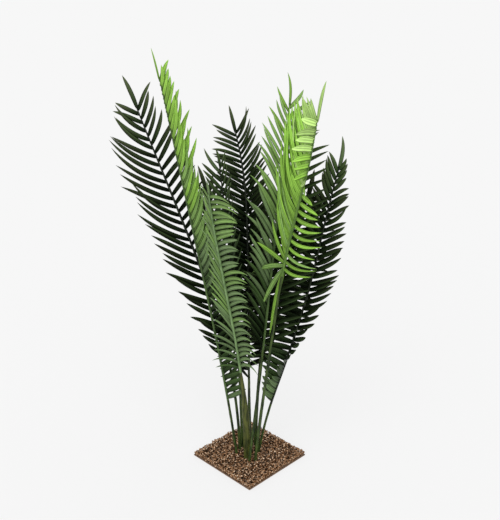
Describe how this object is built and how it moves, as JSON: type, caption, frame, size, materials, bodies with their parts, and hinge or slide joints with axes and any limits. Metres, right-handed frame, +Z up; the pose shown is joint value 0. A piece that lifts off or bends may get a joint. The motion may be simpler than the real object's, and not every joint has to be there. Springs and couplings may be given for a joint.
{
  "type": "artificial parlour palm",
  "caption": "Artificial parlour palm: a tight clump of upright feathery fronds on bare stems, standing on a square base covered with bark chips.",
  "frame": {"origin": "middle of the underside of the square base", "axes": "+Z up along the clump, +X and +Y along the sides of the base; the picture looks along the diagonal between -X and +Y"},
  "size_m": [0.5458, 0.5878, 1.2202],
  "materials": {
    "dark_leaf": "satin, near-black green",
    "mid_leaf": "satin, mid green",
    "lime_leaf": "satin, lime green",
    "stem": "satin moulded olive green",
    "chips": "rough bark",
    "board": "matt dark brown"
  },
  "bodies": {
    "root": {"base_board": "board", "bark_chips": "chips", "stem_far_left": "stem", "stem_tall_left": "stem", "stem_front_left": "stem", "stem_front_right": "stem", "stem_far_right": "stem", "stem_centre_right": "stem", "stem_back_middle": "stem", "stem_back_left": "stem", "stem_back_right": "stem", "stem_rear_middle": "stem", "stem_rear_right": "stem", "stem_rear_left": "stem", "frond_far_left": "dark_leaf", "frond_tall_left": "lime_leaf", "frond_front_left": "mid_leaf", "frond_front_right": "lime_leaf", "frond_far_right": "dark_leaf", "frond_centre_right": "mid_leaf", "frond_back_middle": "dark_leaf", "frond_back_left": "dark_leaf", "frond_back_right": "dark_leaf", "frond_rear_middle": "dark_leaf", "frond_rear_right": "mid_leaf", "frond_rear_left": "dark_leaf"}
  },
  "joints": []
}
